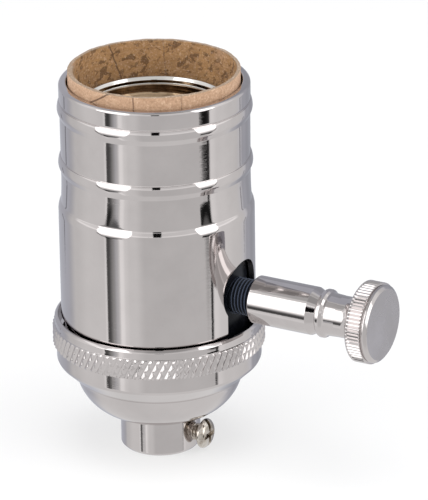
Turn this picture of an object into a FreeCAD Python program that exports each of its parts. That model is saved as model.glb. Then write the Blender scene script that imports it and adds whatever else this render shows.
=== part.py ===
"""Turn knob lamp socket: a turned and plated shell over a moulded rotary switch and an Edison screw shell.

Frame: origin at the centre of the pipe neck's lower face, +Z up the socket towards the lamp,
+X along the turn knob's stem. All sizes are in millimetres.
"""
import FreeCAD
import Part
import Sketcher
import math
import os
import re

# Driving sizes: name, value, what it is
SIZES = [
    ("thread_radius", 12.9, "screw shell, mean inside radius"),
    ("thread_wave", 0.42, "half the depth of the rolled thread"),
    ("thread_pitch", 3.629, "lamp thread, seven to the inch"),
    ("shell_sheet", 0.4, "sheet of the screw shell"),
    ("screw_shell_height", 22.9, "screw shell, from its flange to its rim"),
    ("thread_start", 1.4, "height where the rolled thread begins"),
    ("rim_height", 2.2, "height of the flared rim"),
    ("flare_width", 1.0, "how far the rim flares out"),
    ("flange_gap", 0.5, "screw shell's flange, gap to the pedestal"),
    ("moulding_margin", 0.7, "mouldings, beyond the flared rim"),
    ("liner_play", 0.2, "play between the tube and what it holds"),
    ("liner_wall", 1.4, "wall of the insulating tube"),
    ("liner_gap", 0.38, "gap between the tube and the shell's upper part"),
    ("liner_rise", 6.9, "top of the tube, above the screw shell"),
    ("liner_stand", 2.5, "how far the tube stands out of the shell"),
    ("rim_wall", 1.52, "shell, wall of its upper part"),
    ("bead_height", 0.36, "the two raised beads"),
    ("waist_depth", 0.15, "the two waists"),
    ("body_step", 0.55, "straight body, beyond the upper part"),
    ("body_wall", 1.1, "shell, wall of its straight body"),
    ("spigot_wall", 0.45, "thin lower end of the shell, inside the cap"),
    ("spigot_play", 0.05, "play between that end and the cap"),
    ("hole_radius", 6.2, "round part of the keyhole"),
    ("hole_rise", 1.2, "keyhole's centre above the stem"),
    ("slot_half", 5.1, "half the width of the keyhole's slot"),
    ("slot_corner", 0.7, "rounding of the slot's lower corners"),
    ("pipe_radius", 4.6, "tapped pipe hole, at the thread's crests"),
    ("neck_wall", 3.25, "wall of the pipe neck"),
    ("neck_height", 7.2, "neck, from its end face to the dome"),
    ("neck_chamfer", 0.55, "chamfer round the neck's end"),
    ("dome_curve", 10.1, "radius of the dome's curve"),
    ("dome_rise", 7.6, "height of the dome"),
    ("dome_step", 3.9, "dome's upper edge, inside the band"),
    ("cap_wall", 2.0, "wall of the dome"),
    ("cone_rise", 4.2, "height of the cone above the dome"),
    ("band_height", 3.05, "height of the smooth band"),
    ("band_wall", 1.65, "band, beyond the shell's spigot"),
    ("knurl_stand", 0.73, "tips of the knurl, beyond the band"),
    ("knurl_width", 4.05, "height of the knurled ring"),
    ("knurl_depth", 0.36, "depth of the knurl's grooves"),
    ("knurl_slant", 20.0, "slant of the grooves, degrees"),
    ("knurl_count", 84, "grooves of each hand"),
    ("lip_height", 1.85, "height of the lip above the knurl"),
    ("lip_wall", 0.87, "wall of the lip"),
    ("mouth_gap", 0.5, "open groove between the lip and the shell"),
    ("mouth_depth", 1.75, "depth of that groove"),
    ("shoulder_gap", 0.2, "shell's lower edge above the lip"),
    ("ledge_depth", 4.95, "ledge that carries shell and switch, below the lip"),
    ("ledge_overlap", 1.4, "width of the ledge under the switch's foot"),
    ("foot_gap", 0.75, "foot of the switch housing, inside the shell"),
    ("foot_thickness", 1.8, "foot of the switch housing"),
    ("pad_gap", 0.35, "pad that fills the tube's notch, inside the shell"),
    ("pad_half", 7.6, "half the width of that pad"),
    ("stem_rise", 11.6, "knob's axis above the ledge"),
    ("base_rise", 8.4, "joint between the mouldings, above the axis"),
    ("block_thickness", 5.8, "upper moulding"),
    ("pedestal_radius", 5.5, "pedestal under the centre contact"),
    ("pedestal_height", 2.2, "height of that pedestal"),
    ("boss_thread", 3.6, "boss of the switch, at the thread's crest"),
    ("boss_depth", 0.3, "depth of its thread"),
    ("boss_reach", 2.8, "how far the boss reaches into the knob"),
    ("cavity_margin", 0.5, "switch cavity, beside the contact leaves"),
    ("clip_space", 2.0, "room for the snap ring behind the front wall"),
    ("cavity_back", 8.0, "back wall of the cavity"),
    ("cavity_drop", 7.6, "floor of the cavity, below the axis"),
    ("terminal_recess", 4.2, "depth of the terminal grooves"),
    ("groove_half", 5.0, "half the width of the terminal grooves"),
    ("shaft_radius", 2.0, "switch shaft"),
    ("running_play", 0.06, "play of the shaft in its bearings"),
    ("clip_radius", 3.2, "snap ring that holds the shaft in"),
    ("clip_thickness", 0.6, "snap ring"),
    ("clip_groove", 1.6, "groove of the shaft under the snap ring"),
    ("square_side", 2.8, "square of the shaft that drives the rotor"),
    ("pivot_radius", 1.3, "shaft's inner end"),
    ("rotor_radius", 4.5, "moulded rotor"),
    ("rotor_back", 1.0, "back face of the rotor, behind the socket's axis"),
    ("rotor_length", 6.0, "round part of the rotor"),
    ("rotor_hub", 3.0, "hub behind the rotor"),
    ("cam_side", 7.0, "square detent cam"),
    ("cam_length", 3.5, "length of the detent cam"),
    ("bridge_thickness", 0.4, "contact bridge round the rotor"),
    ("bridge_angle", 220.0, "sector of the contact bridge"),
    ("contact_gap", 0.2, "gap between the bridge and the contact leaves"),
    ("strip_thickness", 0.8, "terminal strips"),
    ("strip_width", 6.0, "width of the terminal strips"),
    ("leaf_thickness", 0.4, "contact leaves and detent spring"),
    ("leaf_drop", 4.1, "lower end of the contact leaves, below the axis"),
    ("notch_depth", 5.8, "notch that lets the line contact into the cavity"),
    ("tongue_thickness", 0.5, "centre contact strip"),
    ("tongue_width", 5.0, "centre contact strip"),
    ("tongue_half", 4.2, "half the length of its foot"),
    ("tongue_rise", 3.3, "height of its free end"),
    ("terminal_drop", 4.1, "terminal screws, below the knob's axis"),
    ("terminal_head", 3.3, "head radius of a terminal screw"),
    ("terminal_head_height", 1.7, "head height of a terminal screw"),
    ("terminal_shank", 1.75, "shank radius of a terminal screw"),
    ("terminal_depth", 2.9, "depth of its hole in the moulding"),
    ("rivet_gap", 2.9, "rivets of the screw shell, from the pedestal"),
    ("rivet_radius", 1.2, "rivet shank radius"),
    ("rivet_head", 1.9, "rivet head radius"),
    ("rivet_head_height", 0.9, "rivet head height"),
    ("body_screw_inset", 2.4, "long screws, inside the mouldings' edge"),
    ("body_screw_radius", 1.45, "long screws, shank"),
    ("body_screw_head", 2.5, "long screws, head radius"),
    ("body_screw_recess", 1.8, "depth of the recess for their heads"),
    ("body_screw_head_height", 1.5, "their head height"),
    ("body_screw_bite", 4.2, "length of their thread in the upper moulding"),
    ("set_screw_height", 3.6, "set screw, above the neck's end"),
    ("set_screw_radius", 1.75, "set screw, thread"),
    ("set_screw_head", 2.95, "set screw, head radius"),
    ("set_screw_gap", 1.65, "underside of its head, from the neck"),
    ("set_screw_head_height", 1.65, "height of its head"),
    ("knob_gap", 2.95, "knob's sleeve, from the shell"),
    ("sleeve_wall", 0.82, "wall of the knob's sleeve round the boss"),
    ("sleeve_length", 10.4, "straight part of the sleeve"),
    ("ring_length", 2.95, "tapered end and thin ring of the sleeve"),
    ("knob_bead", 4.68, "bead of the knob"),
    ("bead_length", 3.1, "length of the bead"),
    ("knob_neck", 3.85, "waist behind the knob's disc"),
    ("waist_length", 2.15, "length of the waist"),
    ("flare_length", 3.9, "length of the flare up to the disc"),
    ("knob_radius", 7.95, "tips of the knob's knurl"),
    ("knob_knurl_width", 2.9, "knurled band of the knob"),
    ("knob_knurl_depth", 0.3, "depth of the knob's knurl"),
    ("knob_knurl_count", 66, "teeth of the knob's knurl"),
    ("knob_face_length", 1.9, "groove and rounded ring in front of the knurl"),
    ("face_inset", 1.0, "flat face, inside the knurl's tips"),
    ("bore_depth", 16.0, "depth of the knob's bore"),
    ("play", 0.1, "general clearance between pieces that are fitted by hand"),
]

# Places and radii that follow from the driving sizes: first outwards from the lamp's thread, then upwards
DERIVED = {
    "flare_radius": "thread_radius + shell_sheet + flare_width",
    "moulding_radius": "flare_radius + moulding_margin",
    "liner_radius": "moulding_radius + liner_play + liner_wall",
    "rim_inside": "liner_radius + liner_gap",
    "rim_radius": "rim_inside + rim_wall",
    "bead_radius": "rim_radius + bead_height",
    "waist_radius": "rim_radius - waist_depth",
    "body_radius": "rim_radius + body_step",
    "body_inside": "body_radius - body_wall",
    "spigot_radius": "body_inside + spigot_wall",
    "mouth_radius": "body_radius + mouth_gap",
    "lip_radius": "mouth_radius + lip_wall",
    "band_radius": "spigot_radius + spigot_play + band_wall",
    "knurl_radius": "band_radius + knurl_stand",
    "foot_radius": "body_inside - foot_gap",
    "ledge_radius": "foot_radius - ledge_overlap",
    "pad_radius": "body_inside - pad_gap",
    "neck_radius": "pipe_radius + neck_wall",
    "dome_top_radius": "band_radius - dome_step",
    "dome_top_height": "neck_height + dome_rise",
    "band_low": "dome_top_height + cone_rise",
    "knurl_low": "band_low + band_height",
    "cap_height": "knurl_low + knurl_width + lip_height",
    "ledge_height": "cap_height - ledge_depth",
    "shoulder_height": "cap_height + shoulder_gap",
    "stem_height": "ledge_height + stem_rise",
    "base_top": "stem_height + base_rise",
    "block_top": "base_top + block_thickness",
    "pedestal_top": "block_top + pedestal_height",
    "screw_shell_top": "block_top + screw_shell_height",
    "liner_top": "screw_shell_top + liner_rise",
    "shell_top": "liner_top - liner_stand",
    "cavity_floor": "stem_height - cavity_drop",
    "rotor_start": "0 - rotor_back",
    "rotor_end": "rotor_length + cam_length - rotor_back",
    "cavity_front": "rotor_end + clip_space",
    "leaf_face": "rotor_radius + bridge_thickness + contact_gap",
    "cavity_half": "leaf_face + leaf_thickness + cavity_margin",
    "groove_depth": "moulding_radius - terminal_recess",
    "terminal_height": "stem_height - terminal_drop",
    "leaf_low": "stem_height - leaf_drop",
    "boss_radius": "boss_thread - boss_depth",
    "knob_start": "body_radius + knob_gap",
    "boss_end": "knob_start + boss_reach",
    "sleeve_radius": "boss_thread + play + sleeve_wall",
    "sleeve_end": "knob_start + sleeve_length",
    "ring_end": "sleeve_end + ring_length",
    "bead_end": "ring_end + bead_length",
    "waist_end": "bead_end + waist_length",
    "disc_start": "waist_end + flare_length",
    "disc_end": "disc_start + knob_knurl_width",
    "knob_end": "disc_end + knob_face_length",
    "face_radius": "knob_radius - face_inset",
    "knob_bore_end": "knob_start + bore_depth",
    "flange_inside": "pedestal_radius + flange_gap",
    "rivet_place": "pedestal_radius + rivet_gap",
    "body_screw_place": "moulding_radius - body_screw_inset",
    "set_screw_head_start": "neck_radius + set_screw_gap",
}
NAMES = [name for name, value, note in SIZES]

doc = FreeCAD.newDocument("TurnKnobSocket")
sheet = doc.addObject("Spreadsheet::Sheet", "Sizes")
for row, (name, value, note) in enumerate(SIZES, start=1):
    sheet.set(f"A{row}", name)
    sheet.set(f"B{row}", str(value))
    sheet.set(f"C{row}", note)
    sheet.setAlias(f"B{row}", name)
doc.recompute()

parts = {}


def linked(formula):
    """Put the sheet's cells in place of the sizes in a formula, as an expression needs them."""
    def cell(match):
        word = match.group(0)
        if word in DERIVED:
            return "(" + linked(DERIVED[word]) + ")"
        return "Sizes." + word if word in NAMES else word
    return re.sub(r"[a-z_]+", cell, str(formula))


def number(formula):
    """The value of a formula in sizes, in millimetres."""
    answer = sheet.evalExpression(linked(formula))
    return float(getattr(answer, "Value", answer))


def bind(item, **formulas):
    """Tie properties of an object to formulas in sizes."""
    for prop, formula in formulas.items():
        item.setExpression(prop, linked(formula))


def place(item, x="0", y="0", z="0", axis=(0, 0, 1), angle=0.0):
    """Turn an object about an axis and tie its position to formulas."""
    item.Placement = FreeCAD.Placement(FreeCAD.Vector(0, 0, 0), FreeCAD.Rotation(FreeCAD.Vector(*axis), angle))
    for letter, formula in zip("xyz", (x, y, z)):
        item.setExpression(f"Placement.Base.{letter}", linked(formula))


def new_body(label):
    """An empty body; all but the blanks become a piece of their own."""
    body = doc.addObject("PartDesign::Body", label)
    body.Label = label
    if not label.endswith("blank"):
        parts[label] = body
    return body


def origin_plane(body, role):
    """One of the body's own base planes."""
    return next(item for item in body.Origin.OriginFeatures if item.Role == role)


def outline(body, name, plane, corners):
    """A closed sketch through corners (x, y) or (x, y, radius, side), all formulas.

    A corner with a radius is reached by an arc: side "left" puts the arc's centre on the left
    of the way from the last corner, "right" on its right.
    """
    sketch = body.newObject("Sketcher::SketchObject", name)
    sketch.AttachmentSupport = (origin_plane(body, plane), "")
    sketch.MapMode = "FlatFace"
    points = [FreeCAD.Vector(number(c[0]), number(c[1]), 0) for c in corners]
    ends = []
    for i, corner in enumerate(corners):
        start, end = points[i - 1], points[i]
        if len(corner) == 2:
            sketch.addGeometry(Part.LineSegment(start, end))
            ends.append((1, 2))
            continue
        radius, side = number(corner[2]), 1 if corner[3] == "left" else -1
        chord = end - start
        across = FreeCAD.Vector(-chord.y, chord.x, 0).normalize() * side
        centre = start + chord * 0.5 + across * math.sqrt(radius ** 2 - chord.Length ** 2 / 4)
        first, last = (start, end) if side == 1 else (end, start)
        angles = [math.atan2(p.y - centre.y, p.x - centre.x) for p in (first, last)]
        circle = Part.Circle(centre, FreeCAD.Vector(0, 0, 1), radius)
        sketch.addGeometry(Part.ArcOfCircle(circle, angles[0], angles[1]))
        ends.append((1, 2) if side == 1 else (2, 1))
    for i, corner in enumerate(corners):
        following = (i + 1) % len(corners)
        sketch.addConstraint(Sketcher.Constraint("Coincident", i, ends[i][1], following, ends[following][0]))
        for kind, value, formula in (("DistanceX", points[i].x, corner[0]), ("DistanceY", points[i].y, corner[1])):
            index = sketch.addConstraint(Sketcher.Constraint(kind, i, ends[i][1], value))
            sketch.setExpression(f"Constraints[{index}]", linked(formula))
        if len(corner) > 2:
            index = sketch.addConstraint(Sketcher.Constraint("Radius", i, number(corner[2])))
            sketch.setExpression(f"Constraints[{index}]", linked(corner[2]))
    return sketch


def turned(body, name, corners):
    """A piece turned about its own Z axis, from an outline of (radius, height) corners."""
    sketch = outline(body, name + "Outline", "XZ_Plane", corners)
    turning = body.newObject("PartDesign::Revolution", name)
    turning.Profile = sketch
    turning.ReferenceAxis = (sketch, ["V_Axis"])
    turning.Angle = 360.0
    sketch.Visibility = False
    return turning


def turned_cut(body, name, corners):
    """Turn away a ring of material, from an outline of (radius, height) corners."""
    sketch = outline(body, name + "Outline", "XZ_Plane", corners)
    cutting = body.newObject("PartDesign::Groove", name)
    cutting.Profile = sketch
    cutting.ReferenceAxis = (sketch, ["V_Axis"])
    cutting.Angle = 360.0
    sketch.Visibility = False
    return cutting


def plate(body, name, plane, corners, thickness, side="0"):
    """A flat piece of an outline, its thickness spread evenly about a plane moved by side."""
    sketch = outline(body, name + "Outline", plane, corners)
    sketch.setExpression("AttachmentOffset.Base.z", linked(side))
    pad = body.newObject("PartDesign::Pad", name)
    pad.Profile = sketch
    pad.Midplane = True
    pad.setExpression("Length", linked(thickness))
    sketch.Visibility = False
    return pad


def box(body, name, kind, x, y, z):
    """A box between pairs of formulas, added to a body or cut from it."""
    item = body.newObject(f"PartDesign::{kind}Box", name)
    bind(item, Length=f"({x[1]}) - ({x[0]})", Width=f"({y[1]}) - ({y[0]})", Height=f"({z[1]}) - ({z[0]})")
    place(item, x[0], y[0], z[0])
    return item


def rod(body, name, kind, radius, length, x="0", y="0", z="0", axis=(0, 0, 1), angle=0.0):
    """A cylinder from a point, along +Z or turned about an axis, added or cut."""
    item = body.newObject(f"PartDesign::{kind}Cylinder", name)
    bind(item, Radius=radius, Height=length)
    place(item, x, y, z, axis, angle)
    return item


ALONG_X = dict(axis=(0, 1, 0), angle=90.0)
ALONG_Y = dict(axis=(1, 0, 0), angle=-90.0)
AGAINST_Y = dict(axis=(1, 0, 0), angle=90.0)


def groove_prism(radius, depth, half_angle, length, slant):
    """A straight V-shaped tool whose edge lies depth below a cylinder, leaning by slant degrees."""
    over = 0.4 * depth
    half = (depth + over) * math.tan(math.radians(half_angle))
    corners = [(radius - depth, 0), (radius + over, half), (radius + over, -half)]
    lean = math.tan(math.radians(slant))
    bottom = [FreeCAD.Vector(x, y - lean * length / 2, -length / 2) for x, y in corners]
    face = Part.Face(Part.makePolygon(bottom + bottom[:1]))
    return face.extrude(FreeCAD.Vector(0, lean * length, length))


def knurled(label, body, count, prisms, height):
    """The turned body with a ring of V grooves round it, as a knurling wheel leaves them."""
    doc.recompute()
    tools = []
    for prism in prisms:
        prism.translate(FreeCAD.Vector(0, 0, height))
        for i in range(count):
            tool = prism.copy()
            tool.rotate(FreeCAD.Vector(0, 0, 0), FreeCAD.Vector(0, 0, 1), 360.0 * i / count)
            tools.append(tool)
    piece = doc.addObject("Part::Feature", label)
    piece.Label = label
    piece.Shape = body.Tip.Shape.cut(tools)
    parts[label] = piece
    return piece


# Cap: neck, dome, cone, smooth band, knurled ring and lip, turned from one bar
def build_cap():
    body = new_body("cap_blank")
    turned(body, "CapTurning", [
        ("pipe_radius", "0"),
        ("neck_radius - neck_chamfer", "0"),
        ("neck_radius", "neck_chamfer"),
        ("neck_radius", "neck_height"),
        ("dome_top_radius", "dome_top_height", "dome_curve", "left"),
        ("band_radius - 0.25", "band_low - 0.45"),
        ("band_radius", "band_low"),
        ("band_radius", "knurl_low"),
        ("knurl_radius - 0.3", "knurl_low"),
        ("knurl_radius", "knurl_low + 0.3"),
        ("knurl_radius", "knurl_low + knurl_width - 0.3"),
        ("knurl_radius - 0.3", "knurl_low + knurl_width"),
        ("lip_radius", "knurl_low + knurl_width"),
        ("lip_radius", "cap_height - 0.7"),
        ("lip_radius - 0.5", "cap_height", "0.65", "left"),
        ("mouth_radius", "cap_height"),
        ("mouth_radius", "cap_height - mouth_depth"),
        ("spigot_radius + spigot_play", "cap_height - mouth_depth"),
        ("spigot_radius + spigot_play", "ledge_height"),
        ("ledge_radius", "ledge_height"),
        ("ledge_radius", "ledge_height - 3.4"),
        ("dome_top_radius - cap_wall", "dome_top_height + 2.0"),
        ("neck_radius - 1.4", "neck_height + cap_wall", "dome_curve - cap_wall", "right"),
        ("pipe_radius", "neck_height + cap_wall"),
    ])
    rod(body, "SetScrewHole", "Subtractive", "set_screw_radius + spigot_play", "neck_radius",
        x="pipe_radius - 1", z="set_screw_height", **ALONG_X)
    depth, slant = number("knurl_depth"), number("knurl_slant")
    prisms = [groove_prism(number("knurl_radius"), depth, 58.0, number("knurl_width") + 1.0, lean)
              for lean in (slant, -slant)]
    knurled("socket_cap", body, int(number("knurl_count")), prisms, number("knurl_low + knurl_width / 2"))


# Shell: turned tube with two beads, a shoulder, the keyhole and a thin lower end
def build_shell():
    body = new_body("outer_shell")
    turned(body, "ShellTurning", [
        ("body_inside", "ledge_height"),
        ("spigot_radius", "ledge_height"),
        ("spigot_radius", "shoulder_height"),
        ("body_radius", "shoulder_height"),
        ("body_radius", "shell_top - 25.7"),
        ("body_radius - 0.12", "shell_top - 24.8", "2.5", "left"),
        ("waist_radius + 0.12", "shell_top - 23.6"),
        ("waist_radius", "shell_top - 22.8", "2.5", "right"),
        ("waist_radius", "shell_top - 20.6"),
        ("bead_radius - 0.1", "shell_top - 17.3"),
        ("bead_radius", "shell_top - 17.1"),
        ("bead_radius", "shell_top - 14.8"),
        ("bead_radius - 0.1", "shell_top - 14.6"),
        ("waist_radius", "shell_top - 13.0"),
        ("waist_radius", "shell_top - 8.0"),
        ("bead_radius - 0.3", "shell_top - 7.0"),
        ("bead_radius", "shell_top - 6.1"),
        ("bead_radius", "shell_top - 3.5"),
        ("bead_radius - 0.1", "shell_top - 3.3"),
        ("rim_radius", "shell_top - 2.9"),
        ("rim_radius", "shell_top - 0.4"),
        ("rim_radius - 0.4", "shell_top", "0.42", "left"),
        ("rim_inside", "shell_top"),
        ("rim_inside", "shell_top - 23.9"),
        ("body_inside", "shell_top - 25.0"),
    ])
    rod(body, "KeyholeRound", "Subtractive", "hole_radius", "body_radius",
        x="body_radius / 2", z="stem_height + hole_rise", **ALONG_X)
    box(body, "KeyholeSlot", "Subtractive", ("body_radius / 2", "body_radius * 1.5"),
        ("-slot_half", "slot_half"), ("ledge_height - 1", "stem_height"))
    box(body, "SpigotSlot", "Subtractive", ("body_radius / 2", "body_radius * 1.5"),
        ("-pad_half", "pad_half"), ("ledge_height - 1", "shoulder_height"))
    round_corners(body, "SlotCorners", "slot_corner", [("slot_half", "shoulder_height"), ("-slot_half", "shoulder_height")])


def round_corners(body, name, radius, corners):
    """Fillet the edges that run outwards along X at the given (y, z) formulas."""
    doc.recompute()
    base = body.Tip
    places = [(number(y), number(z)) for y, z in corners]
    chosen = []
    for index, edge in enumerate(base.Shape.Edges, start=1):
        middle = edge.CenterOfMass
        if middle.x > 0 and any(abs(middle.y - y) < 0.01 and abs(middle.z - z) < 0.01 for y, z in places):
            chosen.append(f"Edge{index}")
    fillet = body.newObject("PartDesign::Fillet", name)
    fillet.Base = (base, chosen)
    bind(fillet, Radius=radius)


# Insulating tube, with a notch that straddles the switch's stem
def build_liner():
    body = new_body("insulating_liner")
    turned(body, "LinerTube", [
        ("liner_radius - liner_wall", "ledge_height + foot_thickness"),
        ("liner_radius", "ledge_height + foot_thickness"),
        ("liner_radius", "liner_top"),
        ("liner_radius - liner_wall", "liner_top"),
    ])
    rod(body, "NotchRound", "Subtractive", "pad_half + play * 3", "liner_radius",
        x="liner_radius / 2", z="base_top - pad_half", **ALONG_X)
    box(body, "NotchSlot", "Subtractive", ("liner_radius / 2", "liner_radius * 1.5"),
        ("-pad_half - play * 3", "pad_half + play * 3"), ("ledge_height", "base_top - pad_half"))


# Lower moulding: foot, arched pad, threaded boss, rotor cavity and terminal grooves
def build_switch_base():
    body = new_body("switch_base")
    turned(body, "BaseTurning", [
        ("0", "ledge_height"),
        ("foot_radius", "ledge_height"),
        ("foot_radius", "ledge_height + foot_thickness"),
        ("moulding_radius", "ledge_height + foot_thickness"),
        ("moulding_radius", "base_top"),
        ("0", "base_top"),
    ])
    rod(body, "PadArch", "Additive", "pad_half", "pad_radius", z="base_top - pad_half", **ALONG_X)
    box(body, "PadSides", "Additive", ("0", "pad_radius"), ("-pad_half", "pad_half"),
        ("ledge_height + foot_thickness", "base_top - pad_half"))
    turned_cut(body, "PadTrim", [
        ("pad_radius", "ledge_height + foot_thickness"),
        ("pad_radius + 5", "ledge_height + foot_thickness"),
        ("pad_radius + 5", "base_top + 1"),
        ("pad_radius", "base_top + 1"),
    ])
    rod(body, "Boss", "Additive", "boss_radius", "boss_end - cavity_front - 1",
        x="cavity_front + 1", z="stem_height", **ALONG_X)
    box(body, "Cavity", "Subtractive", ("-cavity_back", "cavity_front"), ("-cavity_half", "cavity_half"),
        ("cavity_floor", "base_top + 1"))
    rod(body, "ShaftBore", "Subtractive", "shaft_radius + running_play", "boss_end",
        x="cavity_front - 1", z="stem_height", **ALONG_X)
    rod(body, "PivotBore", "Subtractive", "pivot_radius + running_play", "3",
        x="-cavity_back - 2", z="stem_height", **ALONG_X)
    for side, sign in (("Line", 1), ("Neutral", -1)):
        low, high = ("groove_depth", "foot_radius + 1") if sign == 1 else ("-foot_radius - 1", "-groove_depth")
        box(body, side + "Groove", "Subtractive", ("-groove_half", "groove_half"), (low, high),
            ("ledge_height - 1", "base_top + 1"))
        rod(body, side + "ScrewHole", "Subtractive", "terminal_shank + play", "terminal_depth + 1",
            y=f"{sign} * (groove_depth + 1)", z="terminal_height", **(AGAINST_Y if sign == 1 else ALONG_Y))
    box(body, "LeafNotch", "Subtractive", ("-strip_width / 2 - play", "strip_width / 2 + play"),
        ("cavity_half - 1", "groove_depth + 1"), ("base_top - notch_depth", "base_top + 1"))
    for i, (x, y) in enumerate(LONG_SCREWS, start=1):
        rod(body, f"LongHole{i}", "Subtractive", "body_screw_radius + running_play", "base_top",
            x=x, y=y, z="ledge_height - 1")
        rod(body, f"HeadRecess{i}", "Subtractive", "body_screw_head + play * 2", "body_screw_recess + 1",
            x=x, y=y, z="ledge_height - 1")


# Upper moulding: seat of the screw shell, pedestal, strap slot and rivet holes
def build_contact_block():
    body = new_body("contact_block")
    turned(body, "BlockTurning", [
        ("0", "base_top"),
        ("moulding_radius", "base_top"),
        ("moulding_radius", "block_top"),
        ("pedestal_radius", "block_top"),
        ("pedestal_radius", "pedestal_top"),
        ("0", "pedestal_top"),
    ])
    box(body, "StrapSlot", "Subtractive", ("-strip_width / 2 - play", "strip_width / 2 + play"),
        ("-groove_depth - strip_thickness - play", "-groove_depth + play"), ("base_top - 1", "block_top + 1"))
    box(body, "StrapSeat", "Subtractive", ("-strip_width / 2 - play", "strip_width / 2 + play"),
        ("-groove_depth - play", "-pedestal_radius - play"), ("block_top - strip_thickness", "block_top + 1"))
    rod(body, "CentreHole", "Subtractive", "rivet_radius + running_play", "pedestal_top", z="base_top - 1")
    for i, sign in enumerate((1, -1), start=1):
        y = f"{sign} * rivet_place"
        rod(body, f"RivetHole{i}", "Subtractive", "rivet_radius + running_play", "base_top",
            y=y, z="base_top - 1")
        rod(body, f"RivetRecess{i}", "Subtractive", "rivet_head + play", "rivet_head_height + play + 1",
            y=y, z="base_top - 1")
    for i, (x, y) in enumerate(LONG_SCREWS, start=1):
        rod(body, f"LongHole{i}", "Subtractive", "body_screw_radius + running_play", "body_screw_bite + play + 1",
            x=x, y=y, z="base_top - 1")


# Screw shell: flange and flared rim turned in sheet, with a lamp thread rolled between them
def build_screw_shell():
    body = new_body("screw_shell_blank")
    turned(body, "FlangeTurning", [
        ("flange_inside", "block_top"),
        ("thread_radius + shell_sheet - 0.9", "block_top"),
        ("thread_radius + shell_sheet", "block_top + 0.9", "0.9", "left"),
        ("thread_radius + shell_sheet", "block_top + thread_start"),
        ("thread_radius", "block_top + thread_start"),
        ("thread_radius", "block_top + 0.9"),
        ("thread_radius + shell_sheet - 0.9", "block_top + shell_sheet", "0.9 - shell_sheet", "right"),
        ("flange_inside", "block_top + shell_sheet"),
    ])
    for i, sign in enumerate((1, -1), start=1):
        rod(body, f"FlangeHole{i}", "Subtractive", "rivet_radius + running_play", "2",
            y=f"{sign} * rivet_place", z="block_top - 0.5")
    rim = new_body("rim_blank")
    turned(rim, "RimTurning", [
        ("thread_radius", "screw_shell_top - rim_height", "2.4", "left"),
        ("thread_radius + shell_sheet", "screw_shell_top - rim_height"),
        ("flare_radius", "screw_shell_top - 0.3", "2.4", "right"),
        ("flare_radius", "screw_shell_top"),
        ("flare_radius - shell_sheet", "screw_shell_top"),
    ])
    doc.recompute()
    low, high = number("block_top + thread_start"), number("screw_shell_top - rim_height")
    wave, pitch = number("thread_wave"), number("thread_pitch")
    rows, around = 36, 24

    def threaded_core(radius):
        """A solid core with the thread wave round it, eased in and out so that its ends stay round."""
        grid = []
        for i in range(rows + 1):
            share = i / rows
            z = low + (high - low) * share
            ease = min(1.0, 6.0 * share, 6.0 * (1.0 - share))
            ease = ease * ease * (3 - 2 * ease)
            row = []
            for j in range(around + 1):
                turn = 2 * math.pi * (j % around) / around
                here = radius + wave * ease * math.cos(2 * math.pi * z / pitch - turn)
                row.append(FreeCAD.Vector(here * math.cos(turn), here * math.sin(turn), z))
            grid.append(row)
        surface = Part.BSplineSurface()
        surface.interpolate(grid)
        side = surface.toShape()
        ends = [Part.Face(Part.Wire(edge)) for edge in side.Edges
                if edge.BoundBox.ZLength < 0.01 and len(edge.Vertexes) == 1]
        core_shell = Part.makeShell([side] + ends)
        core_shell.sewShape()
        core = Part.makeSolid(core_shell)
        if core.Volume < 0:
            core.reverse()
        return core

    thread = threaded_core(number("thread_radius + shell_sheet")).cut(threaded_core(number("thread_radius")))
    piece = doc.addObject("Part::Feature", "screw_shell")
    piece.Label = "screw_shell"
    piece.Shape = thread.multiFuse([body.Tip.Shape, rim.Tip.Shape], 0.001)
    parts["screw_shell"] = piece


# Fixings of the mouldings: rivets of the screw shell and the centre contact, long screws
def build_fixings():
    for label, sign in (("flange_rivet_line", 1), ("flange_rivet_neutral", -1)):
        body = new_body(label)
        y = f"{sign} * rivet_place"
        low = "base_top + play"
        rod(body, "Head" + label, "Additive", "rivet_head", "rivet_head_height", y=y, z=low)
        rod(body, "Shank" + label, "Additive", "rivet_radius", f"block_top + shell_sheet - ({low})", y=y, z=low)
        rod(body, "Upset" + label, "Additive", "rivet_head", "rivet_head_height - 0.2",
            y=y, z="block_top + shell_sheet")
    body = new_body("centre_rivet")
    low = "base_top - leaf_thickness - rivet_head_height"
    rod(body, "CentreHead", "Additive", "rivet_head", "rivet_head_height", z=low)
    rod(body, "CentreShank", "Additive", "rivet_radius", f"pedestal_top + tongue_thickness - ({low})", z=low)
    rod(body, "CentreUpset", "Additive", "rivet_head - 0.1", "rivet_head_height - 0.3",
        z="pedestal_top + tongue_thickness")
    for i, (x, y) in enumerate(LONG_SCREWS, start=1):
        body = new_body(f"body_screw_{i}")
        top = "ledge_height + body_screw_recess"
        rod(body, f"LongHead{i}", "Additive", "body_screw_head", "body_screw_head_height",
            x=x, y=y, z=top + " - body_screw_head_height")
        rod(body, f"LongShank{i}", "Additive", "body_screw_radius", f"base_top + body_screw_bite - ({top})",
            x=x, y=y, z=top)
        box(body, f"LongSlot{i}", "Subtractive", (x + " - body_screw_head", x + " + body_screw_head"),
            (y + " - 0.35", y + " + 0.35"),
            (top + " - body_screw_head_height - 1", top + " - body_screw_head_height / 2"))


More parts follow.
